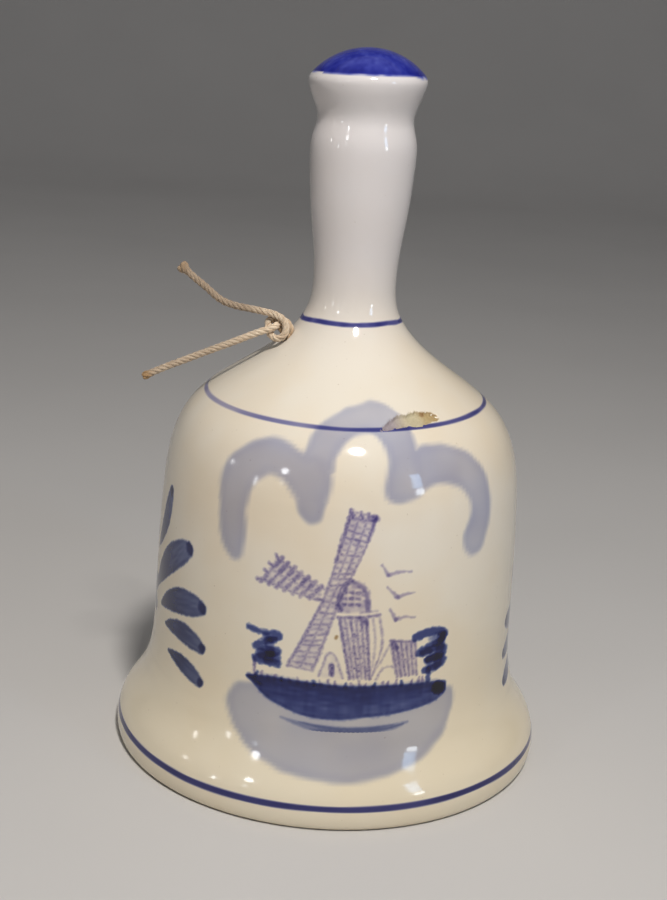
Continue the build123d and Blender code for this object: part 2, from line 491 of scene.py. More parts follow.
class Painter:
    """Lays coats of pigment on points of the skin. Its ink starts clear.

    Strokes with no pigment go to the printing plate, where crossings get no darker. The plate is
    printed in one coat at the end.
    """

    def __init__(self, u, s):
        self.u, self.s = u, s
        self.ink = np.ones((len(u), 3))
        self.plate = np.zeros(len(u))

    def near(self, shape, margin):
        """The points close to a shape: which they are, and their places."""
        low, high = shape.min(0) - margin, shape.max(0) + margin
        across = (self.u > low[0]) & (self.u < high[0])
        where = np.flatnonzero(across & (self.s > low[1]) & (self.s < high[1]))
        return where, self.u[where], self.s[where]

    def coat(self, where, pigment, density):
        self.ink[where] *= pigment ** density[:, None]

    def stroke(self, points, widths, pigment, density=1.0, edge=0.25, ragged=0.0, seed=1, smooth=True):
        """A brush or pen stroke. widths is one width, or one at each point."""
        widths = np.full(len(points), widths, float) if np.isscalar(widths) else np.asarray(widths, float)
        rows = np.column_stack([np.asarray(points, float), widths / 2])
        rows = curve(rows) if smooth and len(rows) > 2 else rows
        where, u, s = self.near(rows[:, :2], widths.max() + edge + ragged + 0.5)
        if len(where) == 0:
            return
        distance = line_distance(u, s, rows[:, :2], rows[:, 2])
        if ragged:
            distance = distance + ragged * (value_noise(u, s, 0.5, seed) - 0.5)
        amount = density * np.clip(0.5 - distance / edge, 0.0, 1.0)
        if pigment is None:
            self.plate[where] = np.maximum(self.plate[where], amount)
        else:
            self.coat(where, pigment, amount)

    def print_plate(self, pigment):
        everywhere = np.flatnonzero(self.plate > 0)
        grain = value_noise(self.u[everywhere], self.s[everywhere], 0.33, 41)
        self.coat(everywhere, pigment, self.plate[everywhere] * (0.6 + 0.8 * grain))

    def area(self, points, pigment, density=1.0, edge=0.3, blotch=0.0, seed=1, size=2.0, smooth=True,
             shade=None):
        """A filled shape. blotch varies the density, and shade(u, s) may scale it."""
        outline = curve(points, closed=True) if smooth else np.asarray(points, float)
        where, u, s = self.near(outline, edge + 0.5)
        if len(where) == 0:
            return
        cover = np.clip(0.5 - area_distance(u, s, outline) / edge, 0.0, 1.0)
        amount = density * (1.0 + blotch * (2 * value_noise(u, s, size, seed) - 1.0))
        if shade is not None:
            amount = amount * shade(u, s)
        self.coat(where, pigment, amount * cover)

    def wash(self, outlines, density, edge=1.2):
        """One thin coat over several shapes, with no darker laps where they meet."""
        outlines = [curve(outline, closed=True) for outline in outlines]
        where, u, s = self.near(np.vstack(outlines), edge)
        if len(where) == 0:
            return
        distance = np.minimum.reduce([area_distance(u, s, outline) for outline in outlines])
        distance = distance + 0.5 * (value_noise(u, s, 2.2, 31) - 0.5)
        tone = 0.88 + 0.24 * value_noise(u, s, 4.5, 32) + 0.12 * np.exp(-((distance + 0.9) / 0.8) ** 2)
        self.coat(where, WASH, density(u, s) * tone * smooth_step(0.5 * edge, -0.5 * edge, distance))


# Ring lines as (azimuth in degrees, arc length up the skin), a little uneven as a banding wheel leaves them.
LIP_LINE = [(-180, 3.0), (-77, 3.3), (-36, 2.8), (0, 3.0), (45, 3.2), (80, 2.9), (180, 3.0)]
SHOULDER_LINE = [(-180, 72.8), (-69, 72.1), (-38, 72.2), (0, 72.3), (27, 72.7), (62, 73.1), (180, 72.8)]
NECK_LINE = [(-180, 95.2), (-72, 94.9), (-41, 95.4), (0, 95.5), (45, 95.8), (75, 95.5), (180, 95.2)]


def ring_line(painter, places, width, tone, fade=0.0):
    """A banding line. fade is how much of it is lost on the left."""
    azimuth = np.degrees(painter.u / PRINT_RADIUS)
    middle = np.interp((azimuth + 180) % 360 - 180, *zip(*places))
    where = np.flatnonzero(np.abs(painter.s - middle) < width)
    u, s = painter.u[where], painter.s[where]
    half = width / 2 * (1.0 + 0.25 * (value_noise(u, s * 0, 9.0, 11) - 0.5))
    cover = np.clip(0.5 - (np.abs(s - middle[where]) - half) / 0.3, 0.0, 1.0)
    strength = tone * (0.8 + 0.4 * value_noise(u, s, 5.0, 12) - fade * smooth_step(20.0, -25.0, u))
    painter.coat(where, LINE, strength * cover)


def paint_cap(painter):
    """Mottled cobalt over the dome, darker in a line round its edge."""
    where = np.flatnonzero(painter.s > CAP_EDGE_RUN - 2.0)
    u, s = painter.u[where], painter.s[where]
    front = np.maximum(np.cos(u / PRINT_RADIUS), 0.0)
    edge = CAP_EDGE_RUN + 0.2 * (value_noise(u, s * 0, 4.0, 21) - 0.5) - 0.15 + 0.65 * front
    radius = outside.at(s)[0]
    x, y = radius * np.sin(u / PRINT_RADIUS), radius * np.cos(u / PRINT_RADIUS)
    mottle = 0.55 * value_noise(x, y, 1.5, 22) + 0.45 * value_noise(x, y, 0.6, 23)
    cover = smooth_step(-0.3, 0.3, s - edge)
    rim = np.exp(-((s - edge - 0.6) / 0.6) ** 2)
    painter.coat(where, COBALT, cover * (0.95 + 0.85 * mottle + 0.3 * rim))


def paint_washes(painter):
    """The pale clouds over the mill and its reflection in the water under it."""
    left_leg = [(-23.9, 57.5), (-23.3, 63.4), (-20.0, 67.0), (-15.5, 68.8), (-11.0, 68.5), (-7.5, 66.8),
                (-4.4, 66.8), (-1.9, 63.2), (-2.2, 59.2), (-3.0, 55.6), (-5.0, 54.6), (-6.9, 56.2),
                (-8.2, 59.0), (-10.6, 61.4), (-13.4, 62.3), (-15.6, 61.2), (-17.0, 58.8), (-17.4, 55.6),
                (-17.0, 51.0), (-17.5, 47.2), (-19.6, 45.9), (-22.4, 49.6)]
    arch = [(-7.6, 66.0), (-7.4, 69.4), (-6.0, 72.6), (-3.0, 75.2), (1.6, 77.6), (8.0, 79.0), (12.8, 77.2),
            (15.4, 73.6), (15.8, 70.0), (15.5, 66.0), (16.0, 60.9), (13.2, 59.3), (9.8, 59.2), (8.4, 60.5),
            (8.4, 63.2), (9.2, 66.4), (8.6, 69.4), (6.4, 71.4), (3.4, 71.4), (0.4, 69.6), (-1.2, 66.6),
            (-1.8, 64.0), (-4.6, 65.0)]
    right_leg = [(15.4, 68.4), (20.0, 69.0), (24.9, 68.2), (29.2, 65.8), (32.0, 62.0), (32.6, 57.0),
                 (32.0, 52.2), (30.2, 48.4), (27.6, 47.6), (25.4, 49.2), (24.8, 51.8), (26.2, 54.2),
                 (27.0, 56.8), (26.0, 59.2), (23.2, 61.0), (19.4, 61.8), (15.8, 61.2), (14.6, 64.6)]
    water = [(-17.2, 22.6), (-18.4, 18.3), (-15.0, 13.5), (-9.9, 10.2), (-3.2, 8.2), (3.1, 7.6), (9.6, 8.3),
             (16.2, 10.6), (21.8, 14.3), (24.5, 19.0), (24.4, 22.6), (21.0, 23.4), (13.0, 23.6), (5.0, 23.6),
             (-3.0, 23.6), (-10.0, 23.6), (-14.5, 23.6)]
    painter.wash([left_leg, arch, right_leg], lambda u, s: 1.0 - 0.25 * smooth_step(69.0, 76.0, s))
    painter.wash([water], lambda u, s: 0.95 + 0.1 * smooth_step(16.0, 9.0, s))


PEN, PEN_BOLD = 0.36, 0.55  # widths


def pen(painter, points, width, density, seed, smooth=True):
    """A soft, slightly broken printed line."""
    painter.stroke(points, width, None, density, edge=0.45, ragged=0.25, seed=seed, smooth=smooth)


def pens(painter, rows, seed):
    """Several pen lines as (points, width, density), with seeds that count up."""
    for k, (points, width, density) in enumerate(rows):
        pen(painter, points, width, density, seed + k)


def smudge(painter, points, width, density, seed):
    """A short soft touch of ink."""
    painter.stroke(points, width, MAUVE, density, edge=0.6, ragged=0.4, seed=seed)


def tint(painter, corners, density, seed, blotch=0.7):
    """A pale patch of ink under the pen lines."""
    painter.area(corners, MAUVE, density, edge=0.7, blotch=blotch, seed=seed, size=0.9, smooth=False)


def between(first, second, share):
    return np.asarray(first, float) * (1 - share) + np.asarray(second, float) * share


def along_edge(edge, t):
    """The place at share t of an edge whose points are evenly spread."""
    places = np.linspace(0, 1, len(edge))
    return np.array([np.interp(t, places, edge[:, axis]) for axis in (0, 1)])


def lattice(painter, left, right, rungs, spars, density, seed):
    """Soft rungs and long spars between two edges, each edge given from root to tip."""
    rng = np.random.default_rng(seed)
    left, right = np.asarray(left, float), np.asarray(right, float)
    tint(painter, np.vstack([left, right[::-1]]), 0.24, seed)
    for k in range(rungs + 1):
        t = k / rungs
        nudge = rng.normal(0.0, 0.12, (2, 2))
        rung = [along_edge(left, t) + nudge[0], along_edge(right, t) + nudge[1]]
        pen(painter, rung, PEN, density * rng.uniform(0.4, 1.0), seed + k)
    for k in range(spars):
        share = (k + 1) / (spars + 1)
        places = np.linspace(0, 1, len(left))
        spar = [between(along_edge(left, t), along_edge(right, t), share) for t in places]
        pen(painter, spar, PEN, density * 0.7, seed + 50 + k)


def paint_side_sail(painter):
    """The sail that points left: bold slanted bars between two dashed edges, torn at its tip."""
    top, bottom = ((-1.6, 43.3), (-10.5, 48.0)), ((-2.6, 41.2), (-13.0, 43.4))
    tint(painter, [*top, *bottom[::-1]], 0.26, 101)
    rng = np.random.default_rng(102)
    bars = 7
    for k in range(bars):
        t = (k + 0.5) / bars
        high, low = between(*top, t), between(*bottom, min(1.0, t + 0.07))
        jut = (high - low) * rng.uniform(0.02, 0.1)
        pen(painter, [high + jut, low - jut], PEN_BOLD, rng.uniform(0.45, 0.75), 103 + k)
        head = [high + jut, between(high, low, rng.uniform(0.25, 0.4))]
        pen(painter, head, 0.85, rng.uniform(0.75, 1.0), 114 + k)
        foot = [low - jut, between(low, high, rng.uniform(0.15, 0.3))]
        pen(painter, foot, 0.75, rng.uniform(0.6, 0.95), 125 + k)
    middle = [between(top[0], bottom[0], 0.5), between(top[1], bottom[1], 0.5)]
    teeth = ([(-10.1, 47.3), (-10.7, 48.4)], [(-11.1, 46.2), (-11.8, 46.7)],
             [(-11.9, 44.8), (-12.6, 45.4)], [(-12.6, 43.5), (-13.9, 43.4)])
    rows = [(middle, PEN, 0.4), (top, PEN, 0.65), (bottom, PEN, 0.65)]
    pens(painter, rows + [(tooth, 0.6, 0.85) for tooth in teeth], 136)


def paint_mill(painter):
    """A generic Dutch tower mill, as a soft mauve-blue transfer print."""
    upper_sail = ([(-0.6, 45.1), (0.9, 51.5), (2.3, 57.5)], [(2.8, 45.5), (5.0, 50.8), (6.9, 56.5)])
    lower_sail = ([(-1.7, 41.2), (-4.5, 34.4), (-7.3, 28.2)], [(1.0, 40.9), (-0.7, 35.0), (-2.7, 28.0)])
    cross = ([(-1.7, 41.2), (-0.6, 45.1)], [(1.0, 40.9), (2.8, 45.5)])
    paint_side_sail(painter)
    lattice(painter, *lower_sail, 12, 1, 0.75, 121)
    lattice(painter, *upper_sail, 11, 2, 0.85, 141)
    lattice(painter, *cross, 4, 1, 0.7, 151)
    edges = [
        (lower_sail[0], PEN_BOLD, 0.8), (lower_sail[1], PEN_BOLD, 0.7),
        (upper_sail[0], PEN, 0.8), (upper_sail[1], PEN, 0.75),
        ([(0.1, 48.4), (1.2, 53.4), (2.3, 57.8)], 0.7, 1.05),
        ([(5.6, 52.6), (6.2, 54.6), (6.8, 56.8)], 0.65, 0.95),
        ([(2.3, 57.8), (2.6, 56.6)], 0.7, 1.0), ([(4.0, 57.5), (4.4, 56.3)], 0.65, 1.0),
        ([(5.4, 57.2), (5.5, 56.2)], 0.6, 0.9), ([(2.6, 56.4), (6.6, 55.9)], PEN_BOLD, 0.7),
        (cross[0], PEN_BOLD, 0.7), (cross[1], PEN_BOLD, 0.7), ([(-2.7, 41.4), (-1.7, 41.2)], PEN_BOLD, 0.9),
    ]
    pens(painter, edges, 161)
    smudge(painter, [(6.3, 56.6), (6.9, 56.4)], 1.0, 0.9, 176)
    dome = [(1.1, 39.4), (0.9, 42.2), (1.8, 44.5), (3.2, 45.2), (5.0, 44.2), (6.0, 42.4), (6.5, 39.8)]
    painter.area(dome, MAUVE, 0.42, edge=0.6, blotch=0.8, seed=177, size=0.7)
    pen(painter, dome[:4], PEN, 0.7, 178)
    painter.stroke(dome[3:], (0.5, 0.9, 1.1, 0.8), MAUVE, 0.8, edge=0.6, ragged=0.5, seed=179)
    for k in range(9):
        place = (1.9 + 1.15 * (k % 3), 40.8 + 1.1 * (k // 3))
        pen(painter, [place, (place[0] + 0.35, place[1])], PEN_BOLD, 0.9, 180 + k, smooth=False)
    gallery = [
        ([(1.0, 40.5), (1.6, 39.7)], 0.8, 1.0), ([(1.2, 38.3), (4.7, 38.4), (8.5, 38.9)], PEN_BOLD, 0.9),
        ([(5.0, 39.3), (8.0, 39.6)], PEN, 0.4),
    ]
    pens(painter, gallery, 189)
    smudge(painter, [(5.1, 38.1), (6.0, 37.5)], 1.0, 0.7, 192)
    tower_top, tower_foot = ((1.4, 38.2), (6.2, 38.2)), ((3.9, 26.8), (7.5, 26.8))
    tint(painter, [*tower_top, *tower_foot[::-1]], 0.2, 193, blotch=0.6)
    for k, weight in enumerate((1.05, 0.6, 0.85, 0.6, 0.8, 0.95)):
        top, foot = between(*tower_top, k / 5), between(*tower_foot, k / 5)
        pen(painter, [top, (top + foot) / 2, foot], PEN_BOLD if k in (0, 5) else PEN, weight, 194 + k)
    rng = np.random.default_rng(200)
    for k in range(44):
        side = rng.uniform(0.05, 0.95)
        brick = between(between(*tower_top, side), between(*tower_foot, side), rng.uniform(0.03, 0.97))
        pen(painter, [brick, brick + (0.3, 0.0)], PEN, rng.uniform(0.5, 1.0), 201 + k, smooth=False)
    side_walls = [
        ([(8.4, 38.8), (9.2, 35.0), (9.1, 31.6), (7.8, 27.2)], PEN, 0.6),
        ([(7.3, 38.4), (8.0, 34.0), (7.9, 29.0)], PEN, 0.45),
    ]
    pens(painter, side_walls, 246)


def paint_houses(painter):
    """Low farm buildings and birds round the mill, in the same print."""
    house = [(10.9, 33.8), (15.7, 33.3), (16.4, 26.9), (12.6, 26.9)]
    painter.area(house, MAUVE, 0.3, edge=0.5, blotch=0.7, seed=310, size=0.8, smooth=False)
    for k in range(6):
        top, foot = between(house[0], house[1], k / 5), between(house[3], house[2], k / 5)
        pen(painter, [top, foot], PEN_BOLD if k in (0, 1) else PEN, 0.75, 311 + k)
    pens(painter, [(house[:2], PEN_BOLD, 0.8), ([(12.2, 30.2), (16.0, 30.0)], PEN, 0.5)], 318)
    smudge(painter, [(11.4, 33.2), (12.0, 32.4)], 1.1, 0.7, 320)
    lean_to = [
        ([(7.9, 28.0), (9.4, 30.2), (10.9, 33.4)], PEN, 0.45),
        ([(8.6, 26.6), (9.8, 28.6), (11.6, 28.8), (12.6, 27.6)], PEN, 0.55),
    ]
    pens(painter, lean_to, 321)
    hut = [(-1.6, 27.0), (-1.0, 29.0), (-0.5, 30.9), (0.3, 31.5), (1.2, 30.8), (2.0, 28.8), (2.7, 26.8)]
    painter.area(hut, MAUVE, 0.1, edge=0.6, blotch=0.5, seed=323, size=0.8)
    pens(painter, [(hut, PEN, 0.6), ([(0.7, 27.5), (0.6, 29.2)], 0.85, 1.3)], 324)
    painter.stroke([(1.0, 34.4), (1.1, 34.7)], 0.45, BISCUIT_DARK, 0.8, edge=0.4, seed=326)
    birds = [
        [(8.3, 48.1), (9.6, 46.2), (11.6, 46.7), (13.9, 46.7)],
        [(9.6, 44.0), (11.6, 42.0), (13.1, 42.5), (14.9, 42.7)],
        [(10.3, 39.9), (11.5, 37.9), (13.2, 38.2), (15.1, 38.0)],
    ]
    for k, bird in enumerate(birds):
        painter.stroke(bird[:2], (0.3, 0.75), MAUVE, 0.65, edge=0.4, ragged=0.3, seed=327 + k)
        painter.stroke(bird[1:], (0.7, 0.45, 0.25), MAUVE, 0.6, edge=0.4, ragged=0.3, seed=331 + k)


def paint_banks(painter):
    """The dark bank of land, bushes drawn in zigzags, and the ripple on the water."""
    top = [(-14.9, 24.8), (-12.6, 25.3), (-10.1, 25.6), (-5.7, 25.6), (-1.4, 25.5), (2.8, 25.3),
           (9.3, 25.3), (16.2, 25.1), (20.6, 24.8), (22.7, 24.5)]
    foot = [(23.0, 23.6), (22.9, 22.4), (21.0, 21.3), (17.4, 20.5), (11.6, 19.8), (7.0, 19.5), (2.4, 19.0),
            (-1.9, 19.1), (-5.3, 19.7), (-9.8, 21.2), (-12.2, 22.6), (-13.9, 24.0)]

    def brush(u, s):
        streaks = value_noise(u * 0.2, s, 0.55, 262)
        weave = value_noise(u, s * 0.3, 0.7, 263)
        deep = smooth_step(20.6, 23.6, s - 0.004 * (u - 4.0) ** 2)
        return 0.5 + 0.34 * streaks + 0.24 * weave + 0.14 * smooth_step(6.0, -8.0, u) + 0.26 * deep

    painter.area(top + foot, BANK, 1.12, edge=0.5, blotch=0.08, seed=261, size=3.0, shade=brush)
    shore = [(u, s - 0.75) for u, s in top[1:-1]]
    painter.stroke(shore, 1.7, NAVY, 0.38, edge=1.1, ragged=0.3, seed=264)
    painter.stroke(foot[2:-1], 0.5, BANK, 0.3, edge=0.5, ragged=0.4, seed=265)
    painter.stroke([(21.0, 23.5), (21.6, 23.3)], 2.1, NAVY, 2.2, edge=0.8, ragged=0.4, seed=266)
    painter.stroke([(-14.3, 24.8), (-12.2, 23.8)], (1.1, 0.7), NAVY, 0.6, edge=0.6, seed=267)
    rng = np.random.default_rng(268)
    for k in range(24):
        root = -13.4 + 1.36 * k + rng.uniform(-0.4, 0.4)
        tall = rng.uniform(0.2, 0.9)
        painter.stroke([(root, 25.2), (root + rng.uniform(-0.3, 0.3), 25.4 + tall)], (0.7, 0.35),
                       BANK if k % 4 == 0 else None, 0.8, edge=0.4, ragged=0.3, seed=269 + k)
    ripple = [(-7.8, 18.4), (-4.7, 17.7), (-1.6, 17.2), (2.5, 16.9), (6.2, 16.9), (9.7, 17.1), (12.8, 17.5),
              (15.0, 18.0)]
    swell = (0.25, 0.8, 1.3, 1.5, 1.5, 1.3, 0.9, 0.25)
    painter.stroke(ripple, swell, SLATE, 0.5, edge=0.5, ragged=0.12, seed=297)
    thin_swell = (0.1, 0.4, 0.45, 0.45, 0.4, 0.1)
    for k, (start, end, lift) in enumerate(((-4.5, 12.5, 0.35), (-1.0, 14.2, -0.1), (-2.5, 8.5, -0.5))):
        line = [(u, np.interp(u, *zip(*ripple)) + lift) for u in np.linspace(start, end, 6)]
        painter.stroke(line, thin_swell, SLATE, 0.42, edge=0.35, ragged=0.1, seed=298 + k)
    right_bush = [
        ([(15.7, 34.1), (17.9, 34.7), (20.2, 34.7), (21.7, 34.0), (21.4, 33.0)], 1.55, 1.1),
        ([(21.7, 33.7), (20.6, 32.5), (18.6, 32.0), (16.7, 30.9), (18.8, 31.1)], 1.35, 1.0),
        ([(17.4, 30.9), (20.0, 31.5), (22.0, 31.1), (21.4, 30.0), (18.6, 29.4)], 1.35, 1.0),
        ([(18.4, 29.3), (20.6, 29.6), (22.0, 28.8), (20.2, 27.7), (18.2, 27.4)], 1.4, 1.0),
        ([(21.2, 33.6), (20.9, 30.6), (20.6, 28.0)], 1.7, 0.6),
        ([(18.8, 27.6), (18.9, 25.4)], 0.9, 0.9),
    ]
    left_bush = [
        ([(-15.0, 34.1), (-12.4, 33.7), (-9.6, 33.9), (-9.2, 33.2), (-11.0, 32.5)], 1.0, 1.0),
        ([(-10.0, 32.8), (-13.5, 30.9), (-11.4, 30.8), (-9.2, 30.7), (-10.6, 29.9)], 1.2, 1.0),
        ([(-10.4, 30.0), (-13.4, 28.5), (-11.2, 28.3), (-9.0, 28.3)], 1.3, 1.1),
        ([(-12.2, 29.6), (-9.6, 29.3)], 2.0, 0.9),
        ([(-11.4, 32.9), (-10.6, 30.6), (-11.0, 28.6)], 1.7, 0.6),
    ]
    thicket = [(18.4, 33.6), (21.6, 34.2), (21.9, 29.0), (21.2, 27.4), (18.6, 27.6), (18.2, 30.0),
               (19.8, 31.6)]
    painter.area(thicket, BANK, 0.5, edge=0.7, blotch=0.3, seed=338, size=0.7)
    for k, (branch, width, density) in enumerate(right_bush + left_bush):
        painter.stroke(branch, width, BANK, density, edge=0.5, ragged=0.35, seed=341 + k)
    pen(painter, [(-13.5, 28.4), (-13.3, 25.4)], PEN_BOLD, 1.0, 357)


LEAF_SHAPE = ((0.0, 0.16), (0.25, 0.68), (0.55, 1.0), (0.8, 0.86), (0.93, 0.56))


def leaf(painter, base, tip, bend, width, seed):
    """One brushed leaf: slate blue, darkest at its root, with the brush's load left at its round tip."""
    base, tip = np.asarray(base, float), np.asarray(tip, float)
    along = tip - base
    length = np.linalg.norm(along)
    along = along / length
    aside = np.array([-along[1], along[0]])
    rows = []
    for t, share in LEAF_SHAPE:
        middle = base + along * length * t + aside * bend * math.sin(math.pi * t)
        rows.append((*middle, width * share))
    rows = np.array(rows)
    line = curve(rows)
    where, u, s = painter.near(line[:, :2], width)
    if len(where) == 0:
        return
    ragged = 0.22 * (value_noise(u, s, 0.5, seed) - 0.5)
    distance = line_distance(u, s, line[:, :2], line[:, 2] / 2) + ragged
    t = np.clip(((u - base[0]) * along[0] + (s - base[1]) * along[1]) / length, 0.0, 1.0)
    streaks = value_noise((u * along[0] + s * along[1]) * 0.2, u * aside[0] + s * aside[1], 0.5, seed + 1)
    edge = np.exp(-((distance + 0.3) / 0.35) ** 2)
    density = (2.8 - 1.8 * t) * (0.82 + 0.36 * streaks) + 0.2 * edge
    inside_it = smooth_step(0.3, -0.3, distance)
    painter.coat(where, SLATE, density * inside_it)
    end = rows[-1, :2] + along * 0.12 * width
    load = np.hypot(u - end[0], s - end[1]) - (0.17 * width + 0.35) + 2.0 * ragged
    painter.coat(where, NAVY, 0.75 * smooth_step(0.45, -0.45, load) * inside_it)


# Leaves of one spray as (base, tip, bend, width), from the foot of the flower.
SPRAY = [
    ((3.9, 8.6), (10.4, 22.4), -1.3, 4.0),
    ((4.3, 0.6), (20.9, 13.8), 1.3, 5.4),
    ((9.1, -1.3), (25.5, 3.4), 1.2, 5.0),
    ((12.2, -4.2), (25.9, -4.6), 1.2, 3.9),
    ((14.5, -8.8), (26.1, -11.2), 0.7, 3.2),
]


def paint_petals(painter, heart, degrees, reach, width, seeds):
    """Petals round a flower's heart. reach is where each starts and ends."""
    heart = np.array(heart)
    for turn, seed in zip(degrees, seeds):
        angle = math.radians(turn)
        outward = np.array((math.cos(angle), math.sin(angle)))
        leaf(painter, heart + outward * reach[0], heart + outward * reach[1], 0.0, width, seed)


def paint_spray(painter, middle, height, spread, seed):
    """A flower with leaves fanned to both sides of it. spread scales the fan's height."""
    for side in (1, -1):
        for k, (base, tip, bend, width) in enumerate(SPRAY):
            start = (middle + side * base[0], height + spread * base[1])
            end = (middle + side * tip[0], height + spread * tip[1])
            leaf(painter, start, end, side * bend, width, seed + 10 * k + 100 * (side > 0))
    degrees = (30, 90, 150, 210, 270, 330)
    paint_petals(painter, (middle, height - 1.0), degrees, (1.2, 5.4), 3.2, range(seed + 60, seed + 66))
    heart = [(middle - 0.2, height - 1.0), (middle + 0.2, height - 1.0)]
    painter.stroke(heart, 2.2, COBALT, 0.9, edge=0.5, ragged=0.4, seed=seed + 70)
    stem = [(middle, height - 5.0), (middle + 0.5, height - 8.0), (middle - 0.4, height - 11.0)]
    painter.stroke(stem, (0.9, 0.7, 0.5), SLATE, 0.9, edge=0.5, seed=seed + 71)


LEFT_SPRAY = (-50.5, 31.0, 1.0)  # middle, height of the flower, spread
RIGHT_SPRAY = (69.2, 26.7, 0.86)
BACK_MIDDLE = 120.0
FULL_TURN = 2 * math.pi * PRINT_RADIUS


def paint_back(painter):
    """A small sprig behind, between the two sprays."""
    middle = BACK_MIDDLE
    for side in (1, -1):
        for k, (reach, tall) in enumerate(((9.5, 42.0), (11.5, 33.5), (8.5, 25.5))):
            start, end = (middle + side * 1.2, tall - 5.0 + 2.0 * k), (middle + side * reach, tall)
            leaf(painter, start, end, side * 1.0, 3.0, 700 + 10 * k + 100 * (side > 0))
    stem = [(middle + 0.6, 20.0), (middle - 0.5, 30.0), (middle + 0.3, 40.0), (middle, 46.0)]
    painter.stroke(stem, (0.6, 0.8, 0.8, 0.6), COBALT, 0.7, edge=0.4, seed=720)
    paint_petals(painter, (middle, 50.0), (18, 90, 162, 234, 306), (1.0, 5.0), 3.4, range(730, 750, 4))
    heart = [(middle - 0.2, 50.0), (middle + 0.2, 50.0)]
    painter.stroke(heart, 1.9, NAVY, 0.6, edge=0.5, ragged=0.3, seed=760)


def paint(u, s, fine):
    """Ink filter at skin points. The fine prints are left to the patches that carry them."""
    turn = np.mod(u + 0.35 * FULL_TURN, FULL_TURN) - 0.35 * FULL_TURN
    painter = Painter(turn, s)
    paint_washes(painter)
    ring_line(painter, LIP_LINE, 1.0, 1.5)
    ring_line(painter, SHOULDER_LINE, 0.8, 1.0, 0.5)
    ring_line(painter, NECK_LINE, 0.8, 1.1)
    paint_cap(painter)
    if fine:
        paint_mill(painter)
        paint_houses(painter)
        paint_banks(painter)
        paint_spray(painter, *LEFT_SPRAY, 500)
        paint_spray(painter, *RIGHT_SPRAY, 900)
        paint_back(painter)
        painter.print_plate(MAUVE)
    return painter.ink


# ---- Chip: a flake lost from the glaze at the shoulder ---------------------------------------------
CHIP_OUTLINE = [(8.2, 72.0), (9.4, 73.5), (11.4, 74.9), (13.4, 75.7), (16.2, 75.9), (18.4, 76.4),
                (21.0, 76.1), (23.6, 75.7), (25.3, 74.4), (23.8, 73.4), (21.4, 73.2), (18.6, 72.7),
                (15.4, 72.9), (12.0, 72.5)]
CHIP_DEPTH = 0.55
CHIP_ROSY = (0.62, 0.60, 0.98)
CHIP_GOLDEN = (0.97, 0.84, 0.62)
CHIP_PATCH = (6.4, 27.0, 70.6, 77.9)
CHIP_SPACING = 0.1
DIMPLE_DEPTH = 1.1  # of the dent in the body that makes room for the flake's bed


def chip_distance(u, s):
    return area_distance(u, s, curve(CHIP_OUTLINE, closed=True, steps=4))


def chip_break(u, s):
    """Distance to the flake's broken edge, negative inside it."""
    coarse, fine = value_noise(u, s, 0.7, 401), value_noise(u, s, 0.3, 402)
    return chip_distance(u, s) + 0.5 * (coarse - 0.5) + 0.25 * (fine - 0.5)


# ---- Body of the bell -------------------------------------------------------------------------------
COLUMNS = 280
# Rows of the outer skin as (up to this arc length, row spacing). They are closest at the ring lines.
ROW_BANDS = [(1.4, 0.35), (4.8, 0.16), (24.0, 0.55), (44.0, 0.9), (71.0, 0.62), (74.2, 0.16), (80.0, 0.6),
             (94.1, 0.8), (96.7, 0.15), (131.0, 0.9), (APEX_RUN - 0.3, 0.35)]
INNER_ROWS = 46
SKIN_MARGIN = 0.35  # points this far inside the outline are on the inner skin or the foot
BARE_FOOT_INSIDE = 30.0
BARE_FOOT_HEIGHT = (0.5, 0.2)


def row_runs():
    runs, place = [], FOOT_RUN
    for end, spacing in ROW_BANDS:
        count = max(1, round((end - place) / spacing))
        runs.extend(place + (end - place) * np.arange(count) / count)
        place = end
    return np.array(runs + [place])


def body_mesh():
    """Closed lathe: outer skin, foot, and inner skin up to the end of the bore."""
    azimuths = turns(COLUMNS)
    u = azimuths * PRINT_RADIUS
    outer = [skin(u, np.full(COLUMNS, s)) for s in row_runs()]
    inner = []
    for run in np.linspace(inside.run[0], inside.run[-1] - 0.4, INNER_ROWS)[1:]:
        radius, height = inside.at(run)
        heights = np.full(COLUMNS, height)
        inner.append(np.column_stack([radius * np.sin(azimuths), -radius * np.cos(azimuths), heights]))
    rings = inner[::-1] + outer
    points = np.vstack(rings + [[(0, 0, inside.height[-1])], [(0, 0, outside.height[-1] - CAP_DROP)]])
    faces = ring_faces(len(rings), COLUMNS)
    last = (len(rings) - 1) * COLUMNS
    bottom, top = len(rings) * COLUMNS, len(rings) * COLUMNS + 1
    faces += [((k + 1) % COLUMNS, k, bottom) for k in range(COLUMNS)]
    faces += [(last + k, last + (k + 1) % COLUMNS, top) for k in range(COLUMNS)]
    return points, faces


# The twine's hole, where the frame has it: its radius, the middle of its mouth, and its directions.
HOLE_RADIUS = 1.55
HOLE_MOUTH = np.array((-12.017, -3.220, 81.0))
HOLE_OUT = unit(np.array((-0.6866, -0.1840, 0.7033)))
HOLE_ACROSS = unit(np.array((0.2588, -0.9659, 0.0)))
HOLE_UP = np.cross(HOLE_OUT, HOLE_ACROSS)


